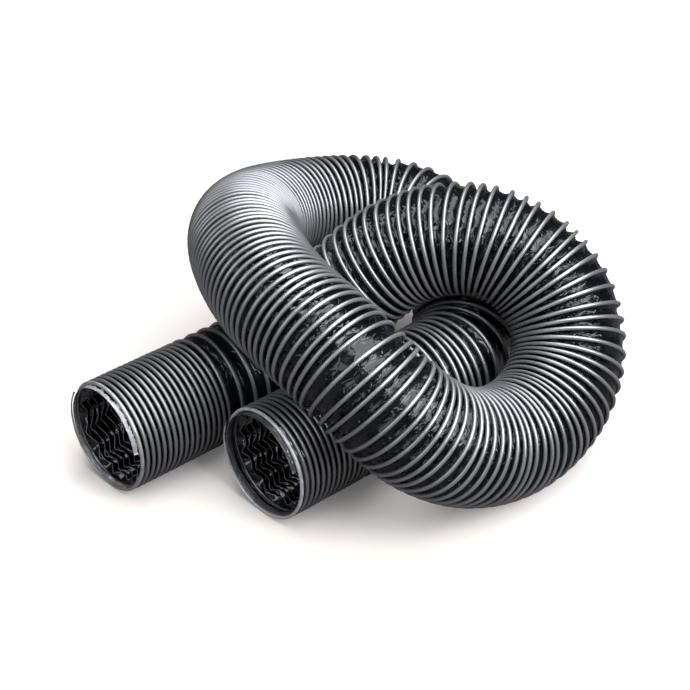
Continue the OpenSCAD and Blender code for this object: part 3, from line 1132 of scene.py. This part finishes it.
@dataclass
class FreeEnd:
    """One free end: its neck, its gathered turns and its mouth."""

    letter: str
    turns: EndTurns
    winding: Winding
    bead: SpringBead
    film: FilmSleeve
    root: np.ndarray
    mouth_light: PaintedMouthLight

    NECK_STEPS = 56
    BEAD_STEPS = 64
    FOLD_STEPS = 128
    FINE_INNER = np.array([1.0, 0.9, 0.73, 0.58, 0.5, 0.42, 0.27, 0.1, 0.0])
    SIGHT_DEG = 33.0
    CUT_TRIES = 90
    # Painted light at a mouth's rim: how it fades, how uneven its border is, and where the pale
    # film is torn off at mouth A.
    RIM_FADE = 0.25
    RIM_RAGGED = 0.9
    TORN_SHARE = 0.7
    # Width of the painted highlight along the fold's crest.
    CREST_HIGHLIGHT_WIDTH = 1.0 * MM

    @property
    def is_a(self) -> bool:
        """Whether this is the end at which the turns are counted from."""
        return self.letter == "a"

    def at_turn(self, turns: float) -> float:
        """The hose's turn that lies this many turns of this end from its face."""
        line = self.winding.line
        return turns * line.stretch if self.is_a else line.total - turns * line.stretch

    def stretch(self, name: str, outer: float, inner: float, steps: int) -> Stretch:
        """A stretch of this end between two turns counted from its face."""
        a, b = sorted((self.at_turn(outer), self.at_turn(inner)))
        return Stretch(name, a, b, steps)

    def point(self, turns: float) -> np.ndarray:
        """The point on the end's axis at a turn counted from its face."""
        inward = self.winding.line.inward
        return self.root - inward * (self.turns.length - self.turns.distance_of(turns))

    def cuts(self) -> np.ndarray:
        """Turns, counted from the face, at which the gathered bead is cut.

        The cuts come twice a turn, where the bead passes the outline that the camera sees.
        """
        t = self.turns
        half = 0.5 / self.winding.line.stretch
        tries = t.mouth + half * np.arange(self.CUT_TRIES) / self.CUT_TRIES
        dip = math.radians(self.SIGHT_DEG)
        sight = np.array([0.0, math.cos(dip), -math.sin(dip)])
        out = self.winding.frame(self.at_turn(tries))[2]
        first = tries[np.argmin(np.abs(out @ sight))]
        return np.arange(first, t.mouth + t.gather + TINY, half)

    def gathered(self, cuts: np.ndarray) -> None:
        """Builds the gathered turns' bead in half turns.

        Args:
            cuts: the turns at which the half turns meet.
        """
        n, diameter = self.letter, 2 * self.bead.sizes.coil_r
        centre, _, out = self.winding.frame(self.at_turn(cuts))
        for k in range(len(cuts) - 1):
            name = f"gather_bead_{n}_{k + 1:02d}"
            piece = self.bead.build(self.stretch(name, cuts[k], cuts[k + 1], self.BEAD_STEPS))
            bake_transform(piece)
            dress(piece, BEAD.material())

    def build(self) -> list[bpy.types.Object]:
        """Builds the end's pieces.

        Returns:
            The pieces apart from the half turns, those of the neck first.
        """
        cuts = self.cuts()
        pieces = [*self._neck(cuts), *self._mouth(cuts)]
        self.gathered(cuts)
        return pieces

    def _neck(self, cuts: np.ndarray) -> tuple[bpy.types.Object, bpy.types.Object]:
        """The bead and the film from the pull to the root."""
        n, t = self.letter, self.turns
        pull = t.mouth + t.gather
        bead = self.bead.build(self.stretch(f"neck_bead_{n}", cuts[-1], t.turns, self.NECK_STEPS))
        film = self.film.build(self.stretch(f"neck_film_{n}", pull, t.turns, self.NECK_STEPS))
        for piece, finish, slot in ((bead, BEAD, Slot.BEAD), (film, FILM, Slot.FILM)):
            self.point(t.turns)
            self.point(pull + t.shank)
            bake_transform(piece)
            dress(piece, finish.material())
        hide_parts(f"neck_{n}", f"shank_{n}")
        return bead, film

    def _mouth(self, cuts: np.ndarray) -> tuple[bpy.types.Object, bpy.types.Object]:
        """The mouth's own bead, and the film from the mouth to the end of the pull."""
        n, t = self.letter, self.turns
        tip = MouthPlan.TIP_TURN / self.winding.line.stretch
        reach = self.stretch(f"mouth_bead_{n}_wound", tip, cuts[0], self.BEAD_STEPS)
        bead = self.bead.build(reach, (self.is_a, not self.is_a))
        skin = (0.0 if self.is_a else 1.0, t.mouth + t.gather)
        film = self.film.build(
            self.stretch(f"mouth_film_{n}_folded", *skin, self.FOLD_STEPS), self.FINE_INNER
        )
        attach(bead, f"mouth_{n}")
        self.point(cuts[-1])
        self.point(cuts[0])
        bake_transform(film)
        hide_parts(f"gather_{n}", f"mouth_film_{n}")
        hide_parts(f"mouth_bead_{n}")
        # The mouth's first bead turn is painted pale, as its painted highlight.
        rim = PaintedRim(self.at_turn(tip), 1.0, self.RIM_FADE, self.mouth_light.bead)
        lit_rim_bead = replace(BEAD, name=f"bead_plastic_{n}", rim=rim)
        dress(bead, lit_rim_bead.material())
        dress(film, self._mouth_film().material())
        return bead, film

    def _mouth_film(self) -> PlasticFinish:
        """The film's finish at this mouth: glossier, with a painted highlight on its folds and
        painted light at its rim.
        """
        sizes = self.film.sizes
        around = TAU * sizes.film_r
        rim = PaintedRim(
            at=self.at_turn(0.0) * around,
            reach=self.mouth_light.turns * around,
            fade=self.RIM_FADE * around,
            tone=self.mouth_light.film,
            ragged=self.RIM_RAGGED * around,
            torn=self.TORN_SHARE * sizes.film_width if self.is_a else None,
        )
        return replace(
            FILM,
            name=f"film_plastic_{self.letter}",
            rim=rim,
            # A painted highlight along the middle of the film, where the fold's crest lies.
            crest=(sizes.film_width / 2, self.CREST_HIGHLIGHT_WIDTH),
            rough_low=0.1,
            rough_high=0.18,
            gloss=1.0,
        )


LAID_BEAD_STEPS = 56
LAID_FILM_STEPS = 60
FILM_SPLIT = 0.49


def dress(piece: bpy.types.Object, material: bpy.types.Material) -> None:
    """Gives a piece its material and logs its faces."""
    piece.data.materials.clear()
    piece.data.materials.append(material)
    LOG.info("%s: %d faces", piece.name, len(piece.data.polygons))


def main() -> None:
    """Builds the studio and the hose."""
    logging.basicConfig(level=logging.INFO, format="%(name)s: %(message)s")
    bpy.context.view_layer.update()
    Studio().build()

    sizes = HoseSizes()
    end_a = EndTurns(mouth=4, gather=10, shank=3, neck=3, open_pitch=10.2 * MM)
    end_b = EndTurns(mouth=4, gather=8, shank=2, neck=2, open_pitch=9.4 * MM)
    line = Centreline(sizes, Lay(), Pitches(), end_a, end_b)
    winding = Winding(line)
    bead, film = SpringBead(sizes, winding), FilmSleeve(sizes, winding)

    from_a, to_b = line.laid_turns()
    middle = from_a + FILM_SPLIT * (to_b - from_a)
    laid_bead = bead.build(Stretch("laid_bead", from_a, to_b, LAID_BEAD_STEPS))
    arch_film = film.build(Stretch("arch_film", from_a, middle, LAID_FILM_STEPS))
    limb_film = film.build(Stretch("limb_film", middle, to_b, LAID_FILM_STEPS))
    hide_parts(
        "hose_rise", "hose_arch_up", "hose_arch_down", "hose_loop", "hose_limb_low"
    )
    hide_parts("hose_limb_high", "hose_turn", "hose_back", "hose_drop", "hose_return")
    for piece, finish, slot in (
        (laid_bead, BEAD, Slot.BEAD),
        (arch_film, FILM, Slot.FILM),
        (limb_film, FILM, Slot.FILM),
    ):
        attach(piece, "pile")
        dress(piece, finish.material())

    # Painted light at the mouths: a pale first bead turn stands for its highlight, and pale film at
    # the rim and on B's cuff stands for light falling on it.
    mouth_light_a = PaintedMouthLight(0.8, (0.36, 0.37, 0.36), (0.4, 0.4, 0.41))
    mouth_light_b = PaintedMouthLight(1.9, (0.7, 0.7, 0.71), (0.1, 0.1, 0.104))
    ends = FreeEnd("a", end_a, winding, bead, film, line.root_a, mouth_light_a).build()
    ends += FreeEnd("b", end_b, winding, bead, film, line.root_b, mouth_light_b).build()
    steel = WireFinish().material()
    for name in ("wire_tip_a", "wire_tip_b"):
        dress(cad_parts[name], steel)


if __name__ == "__main__":
    main()
